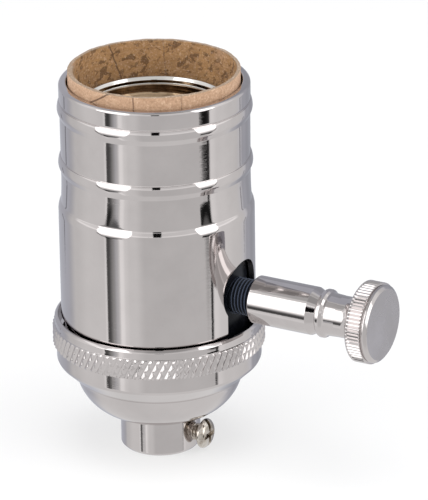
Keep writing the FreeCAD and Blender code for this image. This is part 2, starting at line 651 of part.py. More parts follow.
# Electrical path: terminals, contact leaves, strap to the screw shell, centre contact
def build_contacts():
    body = new_body("line_contact")
    plate(body, "LineStrip", "YZ_Plane", [
        ("leaf_face", "leaf_low"),
        ("leaf_face + leaf_thickness", "leaf_low"),
        ("leaf_face + leaf_thickness", "base_top - notch_depth"),
        ("groove_depth", "base_top - notch_depth"),
        ("groove_depth", "ledge_height + foot_thickness + 1.2"),
        ("groove_depth + strip_thickness", "ledge_height + foot_thickness + 1.2"),
        ("groove_depth + strip_thickness", "base_top - notch_depth + strip_thickness"),
        ("leaf_face", "base_top - notch_depth + strip_thickness"),
    ], "strip_width")
    rod(body, "LineHole", "Subtractive", "terminal_shank + play", "3",
        y="groove_depth - 1", z="terminal_height", **ALONG_Y)
    body = new_body("load_contact")
    plate(body, "LoadStrip", "YZ_Plane", [
        ("-leaf_face", "leaf_low"),
        ("-leaf_face", "base_top - leaf_thickness"),
        ("rivet_head + 0.7", "base_top - leaf_thickness"),
        ("rivet_head + 0.7", "base_top"),
        ("-leaf_face - leaf_thickness", "base_top"),
        ("-leaf_face - leaf_thickness", "leaf_low"),
    ], "strip_width - 1")
    rod(body, "LoadHole", "Subtractive", "rivet_radius + running_play", "3", z="base_top - 2")
    body = new_body("neutral_strap")
    plate(body, "NeutralStrip", "YZ_Plane", [
        ("-groove_depth", "ledge_height + foot_thickness + 1.2"),
        ("-groove_depth", "block_top - strip_thickness"),
        ("-pedestal_radius - 0.5", "block_top - strip_thickness"),
        ("-pedestal_radius - 0.5", "block_top"),
        ("-groove_depth - strip_thickness", "block_top"),
        ("-groove_depth - strip_thickness", "ledge_height + foot_thickness + 1.2"),
    ], "strip_width")
    rod(body, "NeutralHole", "Subtractive", "terminal_shank + play", "3",
        y="-groove_depth - 2", z="terminal_height", **ALONG_Y)
    rod(body, "TabHole", "Subtractive", "rivet_radius + running_play", "3", y="-rivet_place", z="block_top - 2")
    for label, sign, turn in (("line_terminal_screw", 1, AGAINST_Y), ("neutral_terminal_screw", -1, ALONG_Y)):
        body = new_body(label)
        seat = "groove_depth + strip_thickness"
        rod(body, "Head" + label, "Additive", "terminal_head", "terminal_head_height",
            y=f"{sign} * ({seat} + terminal_head_height)", z="terminal_height", **turn)
        rod(body, "Shank" + label, "Additive", "terminal_shank", "terminal_depth + strip_thickness + 0.2",
            y=f"{sign} * ({seat} + 0.2)", z="terminal_height", **turn)
        ends = [f"{sign} * ({seat} + terminal_head_height / 2)", f"{sign} * ({seat} + terminal_head_height + 1)"]
        box(body, "Slot" + label, "Subtractive", ("-terminal_head - 1", "terminal_head + 1"), ends[::sign],
            ("terminal_height - 0.45", "terminal_height + 0.45"))
    body = new_body("centre_contact")
    plate(body, "Tongue", "XZ_Plane", [
        ("-tongue_half", "pedestal_top"),
        ("tongue_half + tongue_thickness / 2", "pedestal_top"),
        ("tongue_half + tongue_thickness * 1.4", "pedestal_top + tongue_thickness"),
        ("tongue_half + tongue_thickness * 1.4", "pedestal_top + tongue_thickness * 2.2"),
        ("-tongue_half / 3", "pedestal_top + tongue_rise"),
        ("-tongue_half / 2", "pedestal_top + tongue_rise"),
        ("-tongue_half / 2", "pedestal_top + tongue_rise - tongue_thickness"),
        ("-tongue_half / 3", "pedestal_top + tongue_rise - tongue_thickness"),
        ("tongue_half + tongue_thickness / 2", "pedestal_top + tongue_thickness * 1.5"),
        ("tongue_half", "pedestal_top + tongue_thickness"),
        ("-tongue_half", "pedestal_top + tongue_thickness"),
    ], "tongue_width")
    rod(body, "TongueHole", "Subtractive", "rivet_radius + running_play", "tongue_thickness + 0.6",
        z="pedestal_top - 0.3")


# Rotary switch: shaft with its snap ring, moulded rotor with a square cam, contact bridge, detent spring
def build_switch():
    body = new_body("switch_shaft")
    shoulder = "rotor_end + play"
    rod(body, "ShaftRound", "Additive", "shaft_radius", f"knob_bore_end - play - ({shoulder})",
        x=shoulder, **ALONG_X)
    box(body, "ShaftSquare", "Additive", ("-cavity_back + 2", shoulder), ("-square_side / 2", "square_side / 2"),
        ("-square_side / 2", "square_side / 2"))
    rod(body, "ShaftPivot", "Additive", "pivot_radius", "4", x="-cavity_back - 1.8", **ALONG_X)
    rod(body, "ClipGrooveRing", "Subtractive", "shaft_radius + 1", "clip_thickness",
        x="cavity_front - 0.2 - clip_thickness", **ALONG_X)
    rod(body, "ClipGrooveCore", "Additive", "clip_groove", "clip_thickness",
        x="cavity_front - 0.2 - clip_thickness", **ALONG_X)
    body = new_body("shaft_clip")
    rod(body, "ClipDisc", "Additive", "clip_radius", "clip_thickness",
        x="cavity_front - 0.2 - clip_thickness", **ALONG_X)
    rod(body, "ClipBore", "Subtractive", "clip_groove", "clip_thickness + 2",
        x="cavity_front - 1.2 - clip_thickness", **ALONG_X)
    box(body, "ClipGap", "Subtractive", ("cavity_front - 2", "cavity_front + 1"), ("-clip_groove + 0.3", "clip_groove - 0.3"),
        ("-clip_radius - 1", "0"))
    body = new_body("switch_rotor")
    rod(body, "RotorHub", "Additive", "rotor_hub", "cavity_back - 0.2 + rotor_start + 0.5",
        x="-cavity_back + 0.2", **ALONG_X)
    rod(body, "RotorDrum", "Additive", "rotor_radius", "rotor_length", x="rotor_start", **ALONG_X)
    box(body, "RotorCam", "Additive", ("rotor_start + rotor_length", "rotor_start + rotor_length + cam_length"),
        ("-cam_side / 2", "cam_side / 2"), ("-cam_side / 2", "cam_side / 2"))
    box(body, "RotorBore", "Subtractive", ("-cavity_back", "cavity_front"),
        ("-square_side / 2 - play / 2", "square_side / 2 + play / 2"),
        ("-square_side / 2 - play / 2", "square_side / 2 + play / 2"))
    body = new_body("contact_bridge")
    rod(body, "BridgeRing", "Additive", "rotor_radius + bridge_thickness", "rotor_length - 2",
        x="rotor_start + 1", **ALONG_X)
    body.Tip.setExpression("Angle", linked("bridge_angle"))
    rod(body, "BridgeBore", "Subtractive", "rotor_radius", "rotor_length", x="rotor_start", **ALONG_X)
    for label in ("switch_shaft", "shaft_clip", "switch_rotor", "contact_bridge"):
        place(parts[label], z="stem_height")
    body = new_body("detent_spring")
    plate(body, "SpringBow", "YZ_Plane", [
        ("-cavity_half + 0.4", "cavity_floor"),
        ("-3.1", "stem_height - cam_side / 2 - contact_gap"),
        ("3.1", "stem_height - cam_side / 2 - contact_gap"),
        ("cavity_half - 0.4", "cavity_floor"),
        ("cavity_half - 0.88", "cavity_floor"),
        ("2.9", "stem_height - cam_side / 2 - contact_gap - leaf_thickness"),
        ("-2.9", "stem_height - cam_side / 2 - contact_gap - leaf_thickness"),
        ("-cavity_half + 0.88", "cavity_floor"),
    ], "cam_length - 0.4", "rotor_start + rotor_length + cam_length / 2")


# Knob: sleeve, ring, bead, waist, flare and knurled disc, turned from one bar
def build_knob():
    body = new_body("knob_blank")
    turned(body, "KnobTurning", [
        ("boss_thread + play", "knob_start"),
        ("sleeve_radius - 0.25", "knob_start"),
        ("sleeve_radius", "knob_start + 0.25"),
        ("sleeve_radius", "sleeve_end"),
        ("sleeve_radius - 0.3", "ring_end - 1.25"),
        ("sleeve_radius - 0.17", "ring_end - 1.15"),
        ("sleeve_radius - 0.17", "ring_end - 0.65"),
        ("sleeve_radius - 0.7", "ring_end - 0.35"),
        ("knob_bead - 0.5", "ring_end"),
        ("knob_bead - 0.5", "bead_end", "2.65", "left"),
        ("knob_neck", "waist_end - waist_length / 3"),
        ("knob_neck", "waist_end"),
        ("knob_neck + 1.55", "waist_end + 1.5", "1.55", "right"),
        ("knob_radius - 0.35", "disc_start - 0.3"),
        ("knob_radius", "disc_start"),
        ("knob_radius", "disc_end"),
        ("knob_radius - 0.65", "disc_end + 0.1"),
        ("knob_radius - 0.65", "disc_end + 0.4"),
        ("face_radius + 0.7", "disc_end + 0.5"),
        ("face_radius + 0.7", "knob_end - 0.7"),
        ("face_radius", "knob_end", "0.7", "left"),
        ("0", "knob_end"),
        ("0", "knob_bore_end"),
        ("shaft_radius + running_play / 2", "knob_bore_end"),
        ("shaft_radius + running_play / 2", "boss_end + play * 4"),
        ("boss_thread + play", "boss_end + play * 4"),
    ])
    prism = groove_prism(number("knob_radius"), number("knob_knurl_depth"), 50.0,
                         number("knob_knurl_width") + 0.2, 0.0)
    knob = knurled("turn_knob", body, int(number("knob_knurl_count")), [prism],
                   number("disc_start + knob_knurl_width / 2"))
    place(knob, z="stem_height", **ALONG_X)


# Set screw that clamps the pipe: threaded shank and a head with a slot and a cross recess
def build_set_screw():
    body = new_body("set_screw")
    rod(body, "SetShank", "Additive", "set_screw_radius", "set_screw_head_start + 0.2 - pipe_radius - play",
        x="pipe_radius + play", **ALONG_X)
    rod(body, "SetHead", "Additive", "set_screw_head", "set_screw_head_height", x="set_screw_head_start", **ALONG_X)
    face = "set_screw_head_start + set_screw_head_height"
    box(body, "SetSlot", "Subtractive", (face + " - 0.6", face + " + 1"), ("-0.4", "0.4"),
        ("-set_screw_head - 1", "set_screw_head + 1"))
    box(body, "SetCross", "Subtractive", (face + " - 0.8", face + " + 1"), ("-1.35", "1.35"), ("-0.35", "0.35"))
    place(body, z="set_screw_height")


LONG_SCREWS = [(f"body_screw_place * {math.cos(math.radians(a)):.6f}",
                f"body_screw_place * {math.sin(math.radians(a)):.6f}") for a in (135.0, -45.0)]

build_cap()
build_shell()
build_liner()
build_switch_base()
build_contact_block()
build_screw_shell()
build_fixings()
build_contacts()
build_switch()
build_knob()
build_set_screw()

# The bridge reaches 20 degrees below both sides of the rotor, over the top
bridge = parts["contact_bridge"]
lean = number("(bridge_angle - 180) / 2")
bridge.Placement.Rotation = FreeCAD.Rotation(FreeCAD.Vector(1, 0, 0), -90.0 - lean)

doc.recompute()
faults = [f"{item.Name}: {item.State}" for item in doc.Objects if {"Invalid", "Error"} & set(item.State)]
for label, item in parts.items():
    shape = item.Shape
    if shape.isNull() or not shape.isValid() or len(shape.Solids) != 1 or shape.Volume <= 0:
        faults.append(f"{label}: shape is not one valid solid")
if faults:
    raise RuntimeError("; ".join(faults))
os.makedirs("parts", exist_ok=True)
for label, item in parts.items():
    item.Shape.exportStep(f"parts/{label}.step")
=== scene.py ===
import bmesh
import bpy
import math
import numpy as np
from mathutils import Matrix, Vector


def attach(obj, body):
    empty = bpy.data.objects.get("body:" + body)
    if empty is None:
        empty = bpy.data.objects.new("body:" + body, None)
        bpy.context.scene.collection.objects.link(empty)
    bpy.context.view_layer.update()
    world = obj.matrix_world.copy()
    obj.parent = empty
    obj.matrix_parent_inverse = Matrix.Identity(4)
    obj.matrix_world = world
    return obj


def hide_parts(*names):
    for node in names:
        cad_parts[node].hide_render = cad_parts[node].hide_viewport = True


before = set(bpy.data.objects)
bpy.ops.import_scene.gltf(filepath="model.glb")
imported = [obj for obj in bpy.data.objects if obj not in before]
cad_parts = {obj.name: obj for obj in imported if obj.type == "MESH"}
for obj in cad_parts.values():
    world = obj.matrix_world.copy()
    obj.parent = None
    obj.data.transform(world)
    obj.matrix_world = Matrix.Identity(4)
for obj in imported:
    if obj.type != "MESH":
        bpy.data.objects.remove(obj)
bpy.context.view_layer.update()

MM = 0.001
TAU = 2.0 * math.pi
DEGREES = 180.0 / math.pi

# Sizes of the object, in millimetres.
STEM_HEIGHT = 34.6
SET_SCREW_HEIGHT = 3.6
SHELL_OUTER, SHELL_INNER, SHELL_LIP = 19.05, 17.95, 18.40
KEYHOLE_FOOT, KEYHOLE_CENTRE, KEYHOLE_RADIUS = 28.15, 35.8, 6.2
KEYHOLE_HALF, KEYHOLE_CORNER = 5.1, 0.7
LIP_GAP_HALF = 7.6
KNURL_RADIUS, KNURL_FOOT, KNURL_MIDDLE, KNURL_TOP = 20.83, 22.32, 24.07, 25.83
KNURL_GROOVES = 84
KNOB_TEETH = 66
LINER_OUTER, LINER_RIM, LINER_BORE = 16.6, 15.88, 15.2
LINER_TOP, LINER_DROP = 78.6, 0.10
SCREW_HEAD_RADIUS = 2.93

# Meshes: the merging distances in metres, and where a guard point stands beside a fillet, in millimetres.
WELD, FINE_WELD = 2e-6, 1e-7
GUARD = 0.07


class Expr:
    """A socket of a node tree. Arithmetic on it adds Math nodes, so a formula reads as it is written."""

    def __init__(self, tree, socket):
        self.tree = tree
        self.socket = socket

    def node(self, kind, inputs=None, output=0, **settings):
        """Add any other node, with its inputs by name or index, and give the chosen output."""
        item = self.tree.nodes.new(kind)
        for name, value in settings.items():
            setattr(item, name, value)
        for name, value in (inputs or {}).items():
            if isinstance(value, Expr):
                self.tree.links.new(value.socket, item.inputs[name])
            else:
                item.inputs[name].default_value = value
        return Expr(self.tree, item.outputs[output])

    def math(self, operation, *others):
        """Add a Math node that takes this socket first."""
        return self.node("ShaderNodeMath", dict(enumerate((self, *others))), operation=operation)

    def __add__(self, other):
        return self.math("ADD", other)

    def __sub__(self, other):
        return self.math("SUBTRACT", other)

    def __rsub__(self, other):
        return self * -1.0 + other

    def __mul__(self, other):
        return self.math("MULTIPLY", other)

    def __truediv__(self, other):
        return self.math("DIVIDE", other)

    def __pow__(self, other):
        return self.math("POWER", other)

    def __abs__(self):
        return self.math("ABSOLUTE")

    __radd__ = __add__
    __rmul__ = __mul__

    def components(self):
        """The x, y and z of this vector."""
        split = self.node("ShaderNodeSeparateXYZ", {0: self}).socket.node
        return [Expr(self.tree, output) for output in split.outputs]

    def step(self, low, high):
        """0 below low, 1 above high, smooth between."""
        return self.node("ShaderNodeMapRange", {0: self, 1: low, 2: high}, interpolation_type="SMOOTHSTEP")

    def between(self, rise, fall):
        """0, up to 1 across the rise (from, to) and back to 0 across the fall (from, to)."""
        return self.step(*rise) - self.step(*fall)

    def ramp(self, start, changes):
        """A level that starts at one value and changes smoothly across each (from, to, change) span."""
        return sum((self.step(low, high) * change for low, high, change in changes), start)

    def blend(self, first, second):
        """Blend two levels by this factor."""
        return self * (second - first) + first

    def mix(self, first, second):
        """Blend two colours by this factor. A colour is an RGB triple or another blend."""
        first, second = (c if isinstance(c, Expr) else (*c, 1.0) for c in (first, second))
        return self.node("ShaderNodeMix", {0: self, 6: first, 7: second}, 2, data_type="RGBA")


class Material:
    """A Principled material with its object coordinates at hand, in metres."""

    def __init__(self, name, **constants):
        self.item = bpy.data.materials.new(name)
        self.item.use_nodes = True
        tree = self.item.node_tree
        self.shader = tree.nodes["Principled BSDF"]
        for socket, value in constants.items():
            self.shader.inputs[socket.replace("_", " ")].default_value = value
        self.root = Expr(tree, None)
        self.place = self.root.node("ShaderNodeTexCoord", output=3)
        self.x, self.y, self.z = self.place.components()

    def noise(self, scale, detail, rough, place=None, warp=0.0):
        """Fractal noise from 0 to 1 at a scale in cycles per metre."""
        return self.root.node("ShaderNodeTexNoise", {
            "Vector": place or self.place, "Scale": scale, "Detail": detail,
            "Roughness": rough, "Distortion": warp})

    def vector(self, x, y, z):
        return self.root.node("ShaderNodeCombineXYZ", {0: x, 1: y, 2: z})

    def set(self, socket, value):
        self.item.node_tree.links.new(value.socket, self.shader.inputs[socket])

    def bump(self, height, distance, strength):
        self.set("Normal", self.root.node("ShaderNodeBump", {
            "Strength": strength, "Distance": distance, "Height": height}))


def turned_metal(name, tint, rough, spread, lines, axis="Z"):
    """Polished turned metal: faint lines round an axis through the origin, soft clouding, fine specks."""
    lines_per_metre = 9000.0
    mat = Material(name, Metallic=1.0, IOR=2.0)
    across, other, along = (mat.x, mat.y, mat.z) if axis == "Z" else (mat.y, mat.z, mat.x)
    radius = (across * across + other * other) ** 0.5
    ring = mat.noise(1.0, 2.0, 0.6, mat.vector(radius * lines_per_metre, 0.0, along * lines_per_metre))
    cloud = mat.noise(90.0, 4.0, 0.6)
    speck = mat.noise(2600.0, 1.0, 0.5).step(0.74, 0.80)
    mat.set("Roughness", cloud.step(0.35, 0.75) * spread + ring * (spread * 0.35) + speck * 0.12 + rough)
    mat.set("Base Color", cloud.step(0.3, 0.8).mix(tint, [c * 0.90 for c in tint]))
    mat.bump(ring * lines + cloud * 0.15, 0.02 * MM, 0.35)
    return mat.item


def fibre_board(name):
    """Tan insulating tube: fibres, darker and mottled inside, flecks, fine cracks and a grey cut edge
    darkened as painted shade.
    """
    mat = Material(name, Roughness=0.82)
    radius = (mat.x * mat.x + mat.y * mat.y) ** 0.5
    inside = 1.0 - radius.step(15.90 * MM, 15.98 * MM)
    turn = mat.y.math("ARCTAN2", mat.x)
    round_wall = turn * (16.0 * MM)
    wrapped = mat.vector(round_wall, 0.0, mat.z)
    slanted = mat.vector(round_wall + mat.z * 0.45, 1.0, mat.z * 1.1)
    fibre = mat.noise(1.0, 4.0, 0.65, mat.vector(turn * 9.0, 0.0, mat.z * 1500.0))
    grain = mat.noise(1900.0, 3.0, 0.6)
    fine = mat.noise(2500.0, 3.0, 0.7)
    cloud = mat.noise(170.0, 4.0, 0.62, wrapped, 0.4)
    fleck = mat.noise(850.0, 4.0, 0.62, slanted, 0.5).step(0.555, 0.60)
    blot = mat.noise(430.0, 3.0, 0.65, slanted, 0.6).step(0.575, 0.605)

    # Cracks: turn near the rim in radians, lean in radians per metre of height, depth, on the inner face.
    cracks = (
        (-1.296, 0.0, 1.0, False), (-0.738, 0.0, 0.5, False), (-1.695, 105.0, 1.2, False),
        (2.65, 22.0, 1.0, True), (1.977, 4.0, 0.45, True))
    wander = (mat.noise(1.0, 2.0, 0.6, mat.vector(turn * 0.4, 2.0, mat.z * 500.0)) - 0.5) * 0.035
    lines = 0.0
    for place, lean, depth, on_inner in cracks:
        off = abs(turn - place - (mat.z - 77.5 * MM) * lean + wander * (1.0 + lean * 0.01))
        line = (1.0 - off.step(0.003 + lean * 0.00006, 0.012 + lean * 0.00012)) * depth
        lines = line * (inside if on_inner else 1.0 - inside) + lines

    outer_face = cloud.step(0.25, 0.8).mix((0.545, 0.350, 0.230), (0.425, 0.255, 0.155))
    inner_face = cloud.step(0.3, 0.75).mix((0.46, 0.252, 0.098), (0.29, 0.150, 0.055))
    # The cut edge on top: grey as cut fibre, and darkened as painted shade on a face that the light from
    # above makes bright.
    cut_edge_grey_and_shade = mat.z.step(78.31 * MM, 78.43 * MM)
    body = inside.mix(outer_face, inner_face)
    for share, colour in (
            (fibre.step(0.35, 0.8) * 0.35, (0.62, 0.42, 0.27)),
            ((fleck * 0.62).math("MAXIMUM", blot * 0.8) * inside, (0.10, 0.045, 0.016)),
            (lines * 0.75, (0.10, 0.05, 0.028)),
            (cut_edge_grey_and_shade * 0.85, (0.23, 0.185, 0.14)),
            (grain.step(0.42, 0.75) * 0.30, (0.24, 0.135, 0.075)),
            (fine.step(0.48, 0.68) * 0.50, (0.30, 0.18, 0.10)),
            ((1.0 - fine.step(0.32, 0.46)) * 0.40, (0.78, 0.60, 0.44))):
        body = share.mix(body, colour)
    mat.set("Base Color", body)
    mat.set("Roughness", grain * 0.18 + 0.70)
    mat.bump(fibre * 0.5 + grain * 0.5 - lines * 1.2, 0.12 * MM, 0.7)
    return mat.item


def phenolic(name):
    """Black moulded phenolic: near black, glossy, a faint grain, and a pale painted highlight on the boss
    thread's crests.
    """
    mat = Material(name, Roughness=0.25, Specular_IOR_Level=0.10, Specular_Tint=(0.75, 0.85, 1.0, 1.0))
    cloud = mat.noise(140.0, 3.0, 0.6)
    grain = mat.noise(3200.0, 2.0, 0.6)
    body = cloud.step(0.3, 0.8).mix((0.004, 0.0042, 0.0055), (0.009, 0.010, 0.014))
    radius = (mat.y * mat.y + (mat.z - STEM_HEIGHT * MM) ** 2.0) ** 0.5
    # Painted highlight: the crests of the boss thread are painted pale blue, as if they caught the light.
    crest = radius.between((3.46 * MM, 3.56 * MM), (3.64 * MM, 3.66 * MM)) * mat.x.step(17.2 * MM, 17.6 * MM)
    mat.set("Base Color", (crest * 0.85).mix(body, (0.060, 0.072, 0.105)))
    mat.set("Roughness", cloud * 0.16 + grain * 0.10 + 0.16)
    mat.bump(grain + cloud, 0.02 * MM, 0.4)
    return mat.item


def sheet_metal(name, tint, dull, rough):
    """Rolled sheet: colour drifts between clean and dull metal, with fine rolling lines."""
    mat = Material(name, Metallic=1.0)
    cloud = mat.noise(210.0, 4.0, 0.65)
    rolled = mat.noise(1.0, 2.0, 0.6, mat.vector(mat.x * 400.0, mat.y * 400.0, mat.z * 6000.0))
    mat.set("Base Color", cloud.step(0.35, 0.75).mix(tint, dull))
    mat.set("Roughness", cloud * 0.20 + rolled * 0.10 + rough)
    mat.bump(rolled + cloud * 0.4, 0.02 * MM, 0.5)
    return mat.item


def screw_shell_metal(name):
    """The lamp thread's sheet: bright plated rim; down in the thread, rougher and painted dark brown as
    shade.
    """
    mat = Material(name, Metallic=1.0)
    cloud = mat.noise(210.0, 4.0, 0.65)
    rim = mat.z.step(70.1 * MM, 70.4 * MM)
    # Painted shade: below the rim the thread is painted dark brown, as the shade down inside the mouth.
    thread = cloud.step(0.35, 0.75).mix((0.40, 0.29, 0.19), (0.16, 0.105, 0.06))
    mat.set("Base Color", rim.mix(thread, (0.70, 0.68, 0.65)))
    mat.set("Roughness", cloud * 0.06 + (1.0 - rim) * 0.06 + 0.03)
    mat.bump(cloud, 0.02 * MM, 0.5)
    return mat.item


def slotted_steel(name):
    """Bright plated screw: painted shade makes the upright slot across the head's face warm near black, and
    the shank darker.
    """
    slot_half = 0.34 * MM
    mat = Material(name, Metallic=1.0)
    cloud = mat.noise(420.0, 4.0, 0.65)
    # Painted shade: the slot is painted warm near black.
    slot = (1.0 - abs(mat.y).step(slot_half * 0.9, slot_half * 1.15)) * mat.x.step(9.85 * MM, 9.95 * MM)
    # Painted shade: the shank, under the head and in its hole, is painted darker brown.
    shank = 1.0 - mat.x.step(9.4 * MM, 9.6 * MM)
    body = cloud.step(0.4, 0.7).mix((0.66, 0.62, 0.57), (0.36, 0.31, 0.255))
    body = (shank * 0.4).mix(body, (0.20, 0.15, 0.11))
    mat.set("Base Color", (slot * 0.93).mix(body, (0.045, 0.030, 0.022)))
    mat.set("Roughness", cloud * 0.10 + slot * 0.4 + 0.03)
    mat.bump(cloud, 0.03 * MM, 0.5)
    return mat.item


NICKEL = turned_metal("polished_nickel", (0.62, 0.584, 0.578), 0.012, 0.014, 0.3)
KNOB_NICKEL = turned_metal("polished_nickel_knob", (0.62, 0.584, 0.578), 0.012, 0.014, 0.3, "X")
KNOB_FACE = turned_metal("turned_face", (0.525, 0.502, 0.51), 0.14, 0.22, 1.2, "X")
STEEL = sheet_metal("plated_steel", (0.62, 0.585, 0.54), (0.44, 0.40, 0.35), 0.05)
SCREW_STEEL = slotted_steel("plated_set_screw")
SHELL_METAL = screw_shell_metal("plated_screw_shell")
BRASS = sheet_metal("plain_brass", (0.78, 0.56, 0.24), (0.52, 0.35, 0.14), 0.18)
FIBRE = fibre_board("tan_fibre")
BLACK = phenolic("black_phenolic")


def new_object(name, data):
    """An object of this data, linked to the scene."""
    item = bpy.data.objects.new(name, data)
    bpy.context.scene.collection.objects.link(item)
    return item


def surface(name, grids, material, smooth_angle, weld=FINE_WELD):
    """One object from grids of points in millimetres, each with its own wrap.

    Each grid is (points[rows, columns, 3], wrap): neighbours in both directions are joined by
    quads, and with wrap the last column is joined to the first.
    """
    verts, faces, start = [], [], 0
    for points, wrap in grids:
        rows, columns = points.shape[:2]
        index = start + np.arange(rows * columns).reshape(rows, columns)
        right = np.roll(index, -1, axis=1)
        if not wrap:
            index, right = index[:, :-1], right[:, :-1]
        quads = np.stack([index[:-1], right[:-1], right[1:], index[1:]], axis=-1).reshape(-1, 4)
        verts.append(points.reshape(-1, 3))
        faces.append(quads)
        start += rows * columns
    mesh = bpy.data.meshes.new(name)
    mesh.from_pydata((np.concatenate(verts) * MM).tolist(), [], np.concatenate(faces).tolist())
    mesh.update()
    item = new_object(name, mesh)
    merge(mesh, weld)
    mesh.shade_smooth()
    mesh.set_sharp_from_angle(angle=math.radians(smooth_angle))
    mesh.materials.append(material)
    return item


def merge(mesh, weld):
    """Merge points that meet and drop the empty faces that this leaves."""
    work = bmesh.new()
    work.from_mesh(mesh)
    bmesh.ops.remove_doubles(work, verts=work.verts, dist=weld)
    bmesh.ops.dissolve_degenerate(work, edges=work.edges, dist=weld)
    bmesh.ops.recalc_face_normals(work, faces=work.faces)
    work.to_mesh(mesh)
    work.free()


def rounded(corners, steps=6):
    """A profile through corners (r, z) or (r, z, fillet), each fillet an arc that touches both sides."""
    corners = [tuple(c) + (0.0,) * (3 - len(c)) for c in corners]
    out = []
    for i, (r, z, fillet) in enumerate(corners):
        here = np.array([r, z])
        if fillet <= 0.0 or i in (0, len(corners) - 1):
            out.append(here)
            continue
        before, after = np.array(corners[i - 1][:2]) - here, np.array(corners[i + 1][:2]) - here
        a, b = before / np.linalg.norm(before), after / np.linalg.norm(after)
        half = math.acos(max(-1.0, min(1.0, float(a @ b)))) / 2.0
        if half > math.radians(89.0):
            out.append(here)
            continue
        reach = min(fillet / math.tan(half), 0.49 * np.linalg.norm(before), 0.49 * np.linalg.norm(after))
        radius = reach * math.tan(half)
        middle = (a + b) / np.linalg.norm(a + b) * (radius / math.sin(half)) + here
        start, end = here + a * reach - middle, here + b * reach - middle
        t0, t1 = math.atan2(start[1], start[0]), math.atan2(end[1], end[0])
        turn = (t1 - t0 + math.pi) % TAU - math.pi
        angles = t0 + turn * np.linspace(0.0, 1.0, steps + 1)
        out.extend(middle + radius * np.stack([np.cos(angles), np.sin(angles)], axis=1))
    return np.array(out)


def refined(profile, longest):
    """The profile with no step longer than longest, and a guard point near both ends of each long step.

    The guard points keep the smoothed normals of a flat wall true right up to the arcs beside it.
    """
    out = [profile[:1]]
    for a, b in zip(profile[:-1], profile[1:]):
        length = np.linalg.norm(b - a)
        count = max(1, int(math.ceil(length / longest)))
        share = np.arange(1, count + 1) / count
        if length > 9.0 * GUARD:
            share = np.unique(np.concatenate([share, [GUARD / length, 1.0 - GUARD / length]]))
        out.append(a + (b - a) * share[:, None])
    return np.concatenate(out)


def round_z(r, turn, z):
    """Points about Z: r cos turn, r sin turn, z."""
    r, turn, z = np.broadcast_arrays(r, turn, z)
    return np.stack([r * np.cos(turn), r * np.sin(turn), z], axis=-1)


def lathe(profile, columns, wave=None):
    """Turn a profile (r, z) about Z, with r + wave(turn, z) for the radius."""
    turn = np.arange(columns) * TAU / columns
    r, z = profile[:, :1], profile[:, 1:]
    return round_z(r + wave(turn, z) if wave else r, turn, z)


def turns_past(half, radius, columns):
    """For each row the angles from one side of an opening about +X, half wide, round to its other side."""
    edge = np.arcsin(np.clip(half / radius, 0.0, 1.0))[:, None]
    return edge + (TAU - 2.0 * edge) * np.linspace(0.0, 1.0, columns + 1)


def to_x(points, height):
    """Turn points about Z into points about an axis along +X at that height."""
    return np.stack([points[..., 2], points[..., 1], height - points[..., 0]], axis=-1)


def groove(phase, half_share):
    """A V groove across each unit of phase: 1 at its bottom, 0 outside half_share on both sides."""
    off = np.abs((phase + 0.5) % 1.0 - 0.5)
    return np.clip(1.0 - off / half_share, 0.0, 1.0)


def faded(z, low, high, rise, fall):
    """1 between low and high, straight down to 0 over the rise and the fall inside both ends."""
    return np.clip((z - low) / rise, 0.0, 1.0) * np.clip((high - z) / fall, 0.0, 1.0)


def keyhole_half(z):
    """Half the width of the keyhole at height z: a slot with a round top and rounded lower corners.

    The round top is sqrt(radius^2 - (z - centre)^2). The slot is half + corner - sqrt(corner^2 - d^2),
    where d is how far z still is from the end of the corner.
    """
    top = np.sqrt(np.clip(KEYHOLE_RADIUS ** 2 - (z - KEYHOLE_CENTRE) ** 2, 0.0, None))
    d = np.clip(KEYHOLE_CORNER - (z - KEYHOLE_FOOT), 0.0, KEYHOLE_CORNER)
    slot = KEYHOLE_HALF + KEYHOLE_CORNER - np.sqrt(KEYHOLE_CORNER ** 2 - d ** 2)
    return np.maximum(np.where(z < KEYHOLE_CENTRE, slot, 0.0), top)


